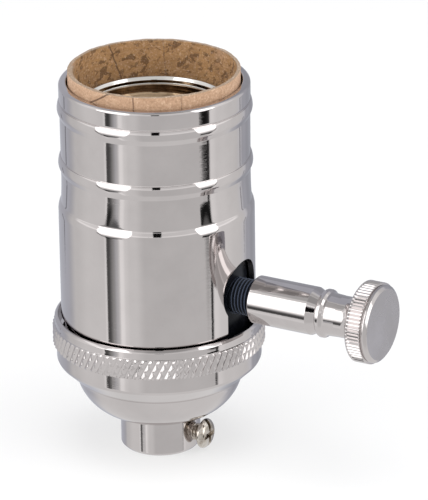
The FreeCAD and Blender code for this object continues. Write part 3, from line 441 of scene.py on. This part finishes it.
def shell_piece():
    """The turned shell: a profile loop carried round from one side of the keyhole to the other."""
    def swell(start, radius, tilt):
        """An arc that leaves the wall at start (r, z) and leans in to the given tilt."""
        lean = np.radians(np.linspace(0.0, tilt, 12))
        return np.stack([start[0] - radius * (1.0 - np.cos(lean)), start[1] + radius * np.sin(lean)], 1)

    def bead(foot, crest, top, low):
        """A raised bead, from below: a crisp foot, a short cone out, a swell to a sharp ridge, a step in."""
        radius, tilt = 3.8, 23.0
        arc = swell((crest, top - radius * math.sin(math.radians(tilt))), radius, tilt)
        cone = rounded([(foot, low - 0.6), (foot, low, 0.25), (crest - 0.06, low + 1.0, 0.9), tuple(arc[0])])
        return np.concatenate([cone[1:-1], arc, [(foot + 0.05, top + 0.03), (foot, top + 0.12)]])

    hollow = np.linspace(52.02, 57.0, 14)
    outline = np.concatenate([
        [(SHELL_LIP, 23.0), (SHELL_LIP, 28.10), (SHELL_LIP, KEYHOLE_FOOT), (SHELL_OUTER, KEYHOLE_FOOT),
         (SHELL_OUTER, 28.3)],
        swell((SHELL_OUTER, 50.05), 3.6, 32.0),
        np.stack([18.33 + 0.16 * ((57.0 - hollow) / 5.0) ** 2, hollow], 1),
        bead(18.35, 18.84, 61.1, 58.25),
        [(18.35, 61.8), (18.37, 68.6)],
        bead(18.38, 18.86, 72.25, 69.4),
        rounded([
            (18.43, 72.45), (18.47, 72.75, 0.3), (18.47, 76.1, 0.95), (16.98, 76.1, 0.15), (16.98, 52.2),
            (SHELL_INNER, 51.1), (SHELL_INNER, 23.0)], 10)])
    turning = int(np.argmax(outline[:, 1]))

    quarter = np.linspace(0.0, math.pi / 2.0, 8)
    keyhole_heights = np.concatenate([
        KEYHOLE_FOOT + KEYHOLE_CORNER * (1.0 - np.cos(quarter)),
        np.linspace(29.2, KEYHOLE_CENTRE, 12),
        KEYHOLE_CENTRE + KEYHOLE_RADIUS * np.sin(np.linspace(0.03, math.pi / 2.0, 40))])

    def along_keyhole(part):
        """The rising profile part with rows of its own along the keyhole."""
        low = part[part[:, 1] <= KEYHOLE_FOOT]
        high = part[part[:, 1] > KEYHOLE_CENTRE + KEYHOLE_RADIUS]
        z = keyhole_heights[1:]
        return np.concatenate([low, np.stack([np.interp(z, part[:, 1], part[:, 0]), z], 1), high])

    up = refined(along_keyhole(outline[:turning + 1]), 0.9)
    down = refined(along_keyhole(outline[turning + 1:][::-1]), 1.5)[::-1]
    r, z = np.concatenate([up, down]).T
    below = (z < KEYHOLE_FOOT) | ((z == KEYHOLE_FOOT) & (r < SHELL_LIP + 0.1))
    half = np.where(below, LIP_GAP_HALF, keyhole_half(z))
    wall = round_z(r[:, None], turns_past(half, r, 280), z[:, None])

    z = keyhole_heights
    half = keyhole_half(z)
    edges = []
    for side in (1.0, -1.0):
        strip = [np.stack([np.sqrt(r ** 2 - half ** 2), side * half, z], axis=-1)
                 for r in np.linspace(SHELL_OUTER, SHELL_INNER, 4)]
        edges.append((np.stack(strip), False))
    return surface("shell_skin", [(wall, False)] + edges, NICKEL, 28.0, WELD)


shell = shell_piece()
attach(shell, "socket")
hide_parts("outer_shell")


def cap_piece():
    """The cap, turned, with a diamond knurl: V grooves of both hands in a band of its own."""
    dome_radius = 10.1
    plain, fine = KNURL_GROOVES * 4, KNURL_GROOVES * 11

    def knurl(turn, z):
        lean = (z - KNURL_MIDDLE) * math.tan(math.radians(27.0)) / KNURL_RADIUS
        shallow = groove((turn + lean) * KNURL_GROOVES / TAU, 0.34)
        deep = groove((turn - lean) * KNURL_GROOVES / TAU, 0.46)
        return -np.maximum(0.22 * shallow, 0.36 * deep) * faded(z, 22.05, 26.10, 0.25, 0.25)

    start, end = np.array([7.85, 7.2]), np.array([16.3, 14.95])
    chord = end - start
    across = np.array([-chord[1], chord[0]]) / np.linalg.norm(chord)
    centre = (start + end) / 2 + across * math.sqrt(dome_radius ** 2 - (chord @ chord) / 4)
    t0, t1 = (math.atan2(*(p - centre)[::-1]) for p in (start, end))
    turn = t0 + (t1 - t0) * np.linspace(0.0, 1.0, 26)
    dome = centre + dome_radius * np.stack([np.cos(turn), np.sin(turn)], 1)

    neck = rounded([
        (4.6, 9.2), (4.6, 0.55), (5.1, 0.0, 0.1), (7.35, 0.0, 0.25), (7.85, 0.55, 0.25), tuple(start)])
    cone = rounded([
        tuple(end), (16.42, 15.25, 0.1), (19.85, 18.55, 0.35), (20.1, 19.1, 0.35), (20.1, 21.95, 0.1),
        (20.55, 22.05, 0.08), (KNURL_RADIUS, KNURL_FOOT)], 4)
    band = refined(np.array([(KNURL_RADIUS, KNURL_FOOT), (KNURL_RADIUS, KNURL_TOP)]), 0.13)
    lip = rounded([
        (KNURL_RADIUS, KNURL_TOP), (20.55, 26.1, 0.08), (20.40, 26.2, 0.08), (20.40, 26.8),
        (20.40, 27.48, 0.16), (20.02, 27.95, 0.16), (19.62, 27.95, 0.12), (19.55, 26.2), (18.45, 26.2),
        (18.45, 23.0), (15.8, 23.0), (15.8, 19.6), (14.2, 16.8, 1.5), (9.5, 11.0, 3.0), (6.45, 9.2),
        (4.6, 9.2)], 5)
    below = np.concatenate([refined(neck, 2.5), dome[1:], refined(cone, 1.5)[1:]])
    knurled = np.concatenate([below[-6:], band[1:], lip[1:7]])
    grids = [(lathe(below[:-5], plain), True), (lathe(knurled, fine, knurl), True),
             (lathe(refined(lip[6:], 1.5), plain), True)]
    return surface("cap_skin", grids, NICKEL, 30.0, WELD)


cap = cap_piece()
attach(cap, "socket")
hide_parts("socket_cap")


def knob_piece():
    """The knob: sleeve, thin ring, bead, waist, flare and a disc with straight teeth.

    In its profile and its teeth z runs along the stem.
    """
    def teeth(turn, z):
        return -0.30 * groove(turn * KNOB_TEETH / TAU, 0.34) * faded(z, 45.15, 48.20, 0.25, 0.15)

    bend = np.linspace(0.0, math.radians(78.0), 12)
    flare = np.stack([6.75 - 2.7 * np.cos(bend), 42.2 + 2.7 * np.sin(bend)], 1)
    sleeve = rounded([
        (2.03, 38.0), (2.03, 25.2), (3.70, 25.2), (3.70, 22.15, 0.1), (3.85, 22.0, 0.08), (4.45, 22.0, 0.2),
        (4.70, 22.25, 0.2), (4.70, 34.75, 0.08), (3.88, 36.40, 0.05), (4.25, 36.52, 0.08),
        (4.74, 36.85, 0.35), (4.74, 37.65, 0.35), (4.30, 38.1, 0.2), (4.18, 38.5, 0.4), (4.05, 40.6, 1.2),
        tuple(flare[0])])
    disc = rounded([
        tuple(flare[-1]), (7.65, 44.92, 0.15), (7.95, 45.2, 0.1), (7.95, 48.15, 0.08), (7.42, 48.22, 0.05),
        (7.42, 48.42, 0.05), (7.62, 48.50, 0.08), (7.56, 48.85, 0.5), (6.95, 49.3, 0.2), (0.001, 49.3)])
    profile = np.concatenate([sleeve, flare[1:], disc[1:]])
    first, last = (int(np.argmin(np.hypot(profile[:, 0] - r, profile[:, 1] - z)))
                   for r, z in ((7.65, 44.92), (7.42, 48.32)))
    parts = [(refined(profile[:first + 1], 1.5), KNOB_TEETH * 3),
             (refined(profile[first:last + 1], 0.5), KNOB_TEETH * 12),
             (refined(profile[last:], 1.0), KNOB_TEETH * 4)]
    grids = [(to_x(lathe(part, columns, teeth), STEM_HEIGHT), True) for part, columns in parts]
    item = surface("knob_skin", grids, KNOB_NICKEL, 30.0, WELD)
    item.data.materials.append(KNOB_FACE)
    middle = np.zeros(len(item.data.polygons) * 3)
    item.data.polygons.foreach_get("center", middle)
    x, y, z = middle.reshape(-1, 3).T / MM
    flat = (x > 49.25) & (np.hypot(y, z - STEM_HEIGHT) < 6.9)
    item.data.polygons.foreach_set("material_index", flat.astype(np.int32))
    return item


knob = knob_piece()
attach(knob, "turn_rotor")
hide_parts("turn_knob")


def helix_thread(root, crest, start, end, pitch, columns=72, rows_per_pitch=14):
    """A thread: r = root + (crest - root) * ridge(z / pitch - turn), ridge a flat-topped V."""
    rows = int((end - start) / pitch * rows_per_pitch)
    profile = np.stack([np.full(rows + 1, root), np.linspace(start, end, rows + 1)], 1)

    def ridge(turn, z):
        off = np.abs((z / pitch - turn / TAU) % 1.0 - 0.5) * 2.0
        rise = np.clip((1.0 - off - 0.12) / 0.70, 0.0, 1.0)
        return (crest - root) * rise * faded(z, start, end, 0.5 * pitch, 0.5 * pitch)

    return lathe(profile, columns, ridge)


boss_rows = to_x(helix_thread(3.31, 3.60, 17.4, 24.78, 0.72), STEM_HEIGHT)
boss = surface("boss_thread", [(boss_rows, True)], BLACK, 60.0)
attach(boss, "socket")


def set_screw_piece():
    """Set screw: threaded shank and a crowned head, with an upright slot and a short cross in its face.

    The face is z = crown(r) - depth(u, v) over u = r cos turn (down) and v = r sin turn (sideways).
    """
    columns = 240
    shank = helix_thread(1.45, 1.75, 4.7, 9.52, 0.7, 48, 12)
    side = rounded([
        (1.45, 9.5), (2.65, 9.5, 0.15), (2.98, 9.75, 0.25), (2.98, 10.05, 0.2), (SCREW_HEAD_RADIUS, 10.25)])
    head = lathe(refined(side, 0.3), columns)
    r, turn = np.linspace(SCREW_HEAD_RADIUS, 0.0, 90)[:, None], np.arange(columns) * TAU / columns
    u, v = r * np.cos(turn), r * np.sin(turn)
    crown = 11.16 - 0.91 * (r / SCREW_HEAD_RADIUS) ** 5
    slot = np.clip((0.42 - np.abs(v)) / 0.07, 0, 1) * 0.85
    cross = np.clip((0.50 - np.abs(u)) / 0.07, 0, 1) * np.clip((2.0 - np.abs(v)) / 0.3, 0, 1) * 0.60
    depth = np.minimum(np.maximum(slot, cross), crown - 9.9)
    face = round_z(r, turn, crown - depth)
    grids = [(to_x(points, SET_SCREW_HEIGHT), True) for points in (shank, head, face)]
    return surface("set_screw_skin", grids, SCREW_STEEL, 40.0, 1e-6)


screw = set_screw_piece()
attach(screw, "socket")
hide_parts("set_screw")


def lamp_thread_piece():
    """The screw shell: flange, rolled lamp thread r + a cos(2 pi z / pitch - turn), flared rolled rim."""
    low, high, pitch, depth, phase = 50.2, 69.4, 3.629, 0.42, 1.2

    def rolled(turn, z):
        share = (z - low) / (high - low)
        ease = np.clip(9.0 * np.minimum(share, 1.0 - share), 0.0, 1.0)
        ease = ease * ease * (3.0 - 2.0 * ease)
        return depth * ease * np.cos(TAU * z / pitch - turn + phase)

    sheet = rounded([
        (6.0, 49.2), (12.9, 49.2, 0.6), (12.9, 67.6, 1.0), (13.25, 69.3, 0.6), (13.3, 70.15, 0.2),
        (13.6, 70.35, 0.15), (13.6, 71.0, 0.3), (14.0, 71.62, 0.2), (14.3, 71.62, 0.15), (14.3, 71.3, 0.1),
        (13.9, 70.6, 1.0), (13.3, 69.4, 1.5), (13.3, 48.8, 0.9), (6.0, 48.8)], 8)
    return surface("screw_shell_skin", [(lathe(refined(sheet, 0.22), 144, rolled), True)], SHELL_METAL, 50.0)


lamp_thread = lamp_thread_piece()
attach(lamp_thread, "socket")
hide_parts("screw_shell")


def liner_piece():
    """Fibre tube: slightly out of round, with an uneven cut edge and the lapped end of its inner layer.

    The waves are sums of sines of the turn. The lap stands 0.55 mm in at -158 degrees, on the thin
    wall near the rim, and falls away as (1 - angle / 60 degrees)^2.
    """
    notch_half, notch_centre = 7.9, 35.4
    profile = refined(rounded([
        (LINER_OUTER, 24.8), (LINER_OUTER, LINER_TOP, 0.2), (LINER_RIM, LINER_TOP, 0.15),
        (LINER_RIM, 62.0, 0.4), (LINER_BORE, 61.2, 0.2), (LINER_BORE, 24.8)], 5), 1.0)
    r, z = profile[:, :1], profile[:, 1:]
    arch = np.sqrt(np.clip(notch_half ** 2 - (z - notch_centre) ** 2, 0.0, None))
    half = np.where(z < notch_centre, notch_half, arch)
    turn = turns_past(half[:, 0], r[:, 0], 360)

    uneven = (0.05 * np.sin(2 * turn + 0.7) + 0.035 * np.sin(5 * turn + 2.1)
              + 0.02 * np.sin(11 * turn + z * 0.5))
    angle = np.degrees((turn - math.radians(-158.0)) % TAU)
    lap = np.where(angle < 60.0, np.clip(angle / 1.2, 0.0, 1.0) * (1.0 - angle / 60.0) ** 2, 0.0)
    thin_wall = (r < 16.2) & (z > 70.0)
    ragged = 0.04 * np.sin(7 * turn + 0.4) + 0.03 * np.sin(17 * turn + 1.9) + 0.02 * np.sin(41 * turn)
    radius = r + uneven * np.clip((z - 60.0) / 18.0, 0.0, 1.0) - 0.55 * lap * thin_wall
    height = z - LINER_DROP + ragged * np.clip((z - 76.0) / 2.6, 0.0, 1.0)
    return surface("liner_skin", [(round_z(radius, turn, height), False)], FIBRE, 40.0)


liner = liner_piece()
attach(liner, "socket")
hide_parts("insulating_liner")

# The frame's own nodes, also those that a surface replaces, get the materials of the scene.
NODE_MATERIALS = {
    "switch_base": BLACK, "contact_block": BLACK, "switch_rotor": BLACK,
    "flange_rivet_line": BRASS, "flange_rivet_neutral": BRASS, "centre_contact": BRASS,
    "centre_rivet": BRASS, "load_contact": BRASS, "line_contact": BRASS, "line_terminal_screw": BRASS,
    "neutral_strap": BRASS, "contact_bridge": BRASS, "neutral_terminal_screw": STEEL,
    "detent_spring": STEEL, "body_screw_1": STEEL, "body_screw_2": STEEL, "switch_shaft": STEEL,
    "shaft_clip": STEEL, "outer_shell": NICKEL, "socket_cap": NICKEL, "turn_knob": KNOB_NICKEL,
    "set_screw": STEEL, "insulating_liner": FIBRE, "screw_shell": SHELL_METAL,
}
for node, material in NODE_MATERIALS.items():
    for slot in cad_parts[node].material_slots:
        slot.material = material


CAMERA_TURN = math.radians(30.0)
FLOOR_REACH = 3000


def stage_mesh(name, corners, look, seen=False):
    """A flat piece of the studio. Where it isn't seen, it only shows in the metal and casts nothing."""
    mesh = bpy.data.meshes.new(name)
    mesh.from_pydata([tuple(c * MM for c in p) for p in corners], [], [(0, 1, 2, 3)])
    item = new_object(name, mesh)
    mesh.materials.append(look.item)
    item.visible_camera = seen
    item.visible_shadow = seen
    item.visible_diffuse = seen
    return item


def studio_point(turn_deg, distance, height):
    """A point at an angle from the camera's side, counted to the camera's right."""
    turn = CAMERA_TURN + math.radians(turn_deg)
    return (math.sin(turn) * distance, -math.cos(turn) * distance, height)


def camera_turn(x, y):
    """The angle of a direction from the camera's side, in degrees, to the right positive."""
    ahead = x * math.sin(CAMERA_TURN) - y * math.cos(CAMERA_TURN)
    aside = x * math.cos(CAMERA_TURN) + y * math.sin(CAMERA_TURN)
    return aside.math("ARCTAN2", ahead) * DEGREES


def floor_paper():
    """Pale paper that takes the object's shadow, with part plain white where the camera sees it directly."""
    white_share = 0.6
    look = Material("floor_look", Roughness=0.8, Base_Color=(0.80, 0.798, 0.795, 1.0))
    tree = look.root.tree
    lit_paper = Expr(tree, look.shader.outputs[0])
    plain_white = look.root.node("ShaderNodeEmission", {"Color": (1.0, 1.0, 1.0, 1.0), "Strength": 1.0})
    camera_ray = look.root.node("ShaderNodeLightPath")
    paper = look.root.node("ShaderNodeMixShader", {0: camera_ray * white_share, 1: lit_paper, 2: plain_white})
    tree.links.new(paper.socket, tree.nodes["Material Output"].inputs["Surface"])
    return look


floor = stage_mesh("floor", [
    (-FLOOR_REACH, -FLOOR_REACH, 0), (FLOOR_REACH, -FLOOR_REACH, 0), (FLOOR_REACH, FLOOR_REACH, 0),
    (-FLOOR_REACH, FLOOR_REACH, 0)], floor_paper(), seen=True)
floor.visible_glossy = False


def studio_light():
    """The light of the studio by direction: turn from the camera's side and height, both in degrees.

    Below the horizon lies the pale table, a sum of smooth steps of the turn. It has a dark strip at the
    left, a dark wedge at the right and a thin seam line at each side of the back. Above it stand two
    tall soft boxes with a dark outline at their foot, and the room is grey. Steeply from below the
    light is even.
    """
    world = bpy.data.worlds.new("studio")
    world.use_nodes = True
    bpy.context.scene.world = world
    tree = world.node_tree
    root = Expr(tree, None)
    x, y, z = root.node("ShaderNodeTexCoord", output=0).components()
    turn = camera_turn(x, y)
    height = z.math("ARCSINE") * DEGREES
    table_end = (-14.0, -12.0)

    base = turn.ramp(0.56, [
        (-128, -112, 0.19), (-112, -88, 0.11), (-66.2, -63.7, 0.15), (-61.7, -60.7, -0.15),
        (-46, -44.5, 0.26), (-42, -38, -0.19), (-38, -33, -0.07), (-27, -14, -0.14), (68.5, 70, 0.28),
        (72, 80, -0.10), (88, 106, -0.07), (104, 121, -0.06), (123, 131, -0.27), (135, 147, -0.08)])

    wide = turn.ramp(0.0, [
        (-62.8, -61.9, 1.0), (-59.5, -53.5, -0.38), (-53.5, -48.5, -0.33), (-48.5, -45.5, -0.29)])
    thin = turn.between((-60.6, -60.0), (-55.8, -55.2))
    strip = height.step(-24.55, -24.35).blend(thin, wide) * height.between((-26.6, -25.8), table_end)

    wedge_side = ((height + 22.4) * (-11.0 / 1.6) + 66.4).math("MINIMUM", 66.4).math("MAXIMUM", 55.0)
    wedge = (turn - wedge_side).step(-1.6, -1.0) * (1.0 - turn.step(67.6, 68.4))
    wedge = wedge * height.between((-24.5, -24.2), table_end)

    seam = turn.between((122.5, 123.3), (124.6, 125.4)) + turn.between((-142.0, -141.0), (-139.0, -138.0))
    seam = seam * height.between((-22.4, -22.2), table_end)
    table = base * (1.0 - strip * 0.88) * (1.0 - wedge * 0.93) * (1.0 - seam * 0.55)

    front = height.ramp(0.0, [
        (6, 9, 0.36), (13, 15, -0.22), (33, 35, 0.32), (39, 42, -0.40), (50, 54, -0.26)])
    room = base + turn.between((-112, -102), (102, 112)) * (front - height.step(50, 54) * 0.08)

    boxes = outlines = 0.0
    for middle, half in ((-52.0, 22.0), (61.0, 14.0)):
        off = (((turn - middle) / half) ** 2.0 + ((height - 18.0) / 36.0) ** 2.0) ** 0.5
        boxes = 1.0 - off.step(0.97, 1.02) + boxes
        outlines = off.between((1.0, 1.03), (1.08, 1.16)) + outlines
    outlines = outlines * (1.0 - height.step(-4.0, 0.0)) * abs(turn).step(52.0, 58.0)

    around = height.step(-6.0, 2.0).blend(table, room) * (1.0 - outlines * 0.75)
    steep = 1.0 - height.step(-50.0, -34.0)
    box_level = height.ramp(0.14, [(-16, 4, 2.2)])
    level = boxes.blend(steep.blend(around, 0.84), box_level)
    cool = abs(turn).step(112.0, 135.0) * (1.0 - steep) + strip * (turn.step(-54.0, -50.0) * 0.8)
    colour = root.node("ShaderNodeCombineXYZ", {0: 1.0 - cool * 0.03, 1: 1.0, 2: cool * 0.11 + 1.0})
    back = tree.nodes["Background"]
    tree.links.new(colour.socket, back.inputs["Color"])
    tree.links.new(level.socket, back.inputs["Strength"])


studio_light()


def area_light(name, place, size, power):
    """A soft box that looks at the middle of the part and isn't mirrored in the metal."""
    data = bpy.data.lights.new(name, "AREA")
    data.shape = "SQUARE"
    data.size = size * MM
    data.energy = power
    item = new_object(name, data)
    item.location = Vector(place) * MM
    item.rotation_euler = (Vector((0, 0, 40)) * MM - item.location).to_track_quat("-Z", "Y").to_euler()
    item.visible_glossy = False


area_light("top_box", studio_point(10, 150, 700), 500, 3.0)
area_light("left_box", studio_point(-85, 700, 330), 300, 0.8)
area_light("right_box", studio_point(80, 700, 300), 300, 0.8)


def lens_card():
    """The dark front of the camera, as the polished ridges show it."""
    away, half_width, half_height, glow = 700.0, 55, 150, (0.01, 0.01, 0.01, 1.0)
    tilt = math.radians(22)
    middle = Vector(studio_point(0, away * math.cos(math.radians(24)), 42 + away * math.sin(tilt)))
    aside = Vector((math.cos(CAMERA_TURN), math.sin(CAMERA_TURN), 0)) * half_width
    up = Vector((-math.sin(CAMERA_TURN) * math.sin(tilt), math.cos(CAMERA_TURN) * math.sin(tilt),
                 math.cos(tilt))) * half_height
    look = Material("lens_look", Roughness=1.0, Base_Color=(0.0, 0.0, 0.0, 1.0), Specular_IOR_Level=0.0,
                    Emission_Color=glow, Emission_Strength=1.0)
    stage_mesh("lens_card", [middle - aside - up, middle + aside - up, middle + aside + up,
                             middle - aside + up], look)


lens_card()


def photo_camera():
    """The camera of the photograph: a long lens 0.9 m away, 22 degrees up and 30 degrees round."""
    up_angle, distance = math.radians(22.304), 0.9003
    yaw, pitch, roll = math.radians(0.700), math.radians(-0.090), math.radians(-1.096)
    focal_pixels, photo_rows, sensor_height = 4625.4, 500.0, 24.0

    def turned(a, b, angle):
        """The axes a and b, turned in their plane from a towards b."""
        return a * math.cos(angle) + b * math.sin(angle), b * math.cos(angle) - a * math.sin(angle)

    back = Vector((math.sin(CAMERA_TURN) * math.cos(up_angle), -math.cos(CAMERA_TURN) * math.cos(up_angle),
                   math.sin(up_angle)))
    place = Vector((0.0, 0.0, 0.042)) + back * distance
    ahead = -back
    right = ahead.cross(Vector((0.0, 0.0, 1.0))).normalized()
    up = right.cross(ahead)
    ahead, right = turned(ahead, right, yaw)
    ahead, up = turned(ahead, up, pitch)
    right, up = turned(right, up, roll)
    data = bpy.data.cameras.new("camera")
    data.sensor_fit = "VERTICAL"
    data.sensor_height = sensor_height
    data.lens = focal_pixels * sensor_height / photo_rows
    data.clip_start, data.clip_end = 0.05, 20.0
    item = new_object("camera", data)
    axes = Matrix((right, up, -ahead)).transposed()
    item.matrix_world = Matrix.Translation(place) @ axes.to_4x4()
    bpy.context.scene.camera = item


photo_camera()
bpy.context.scene.view_settings.view_transform = "Standard"
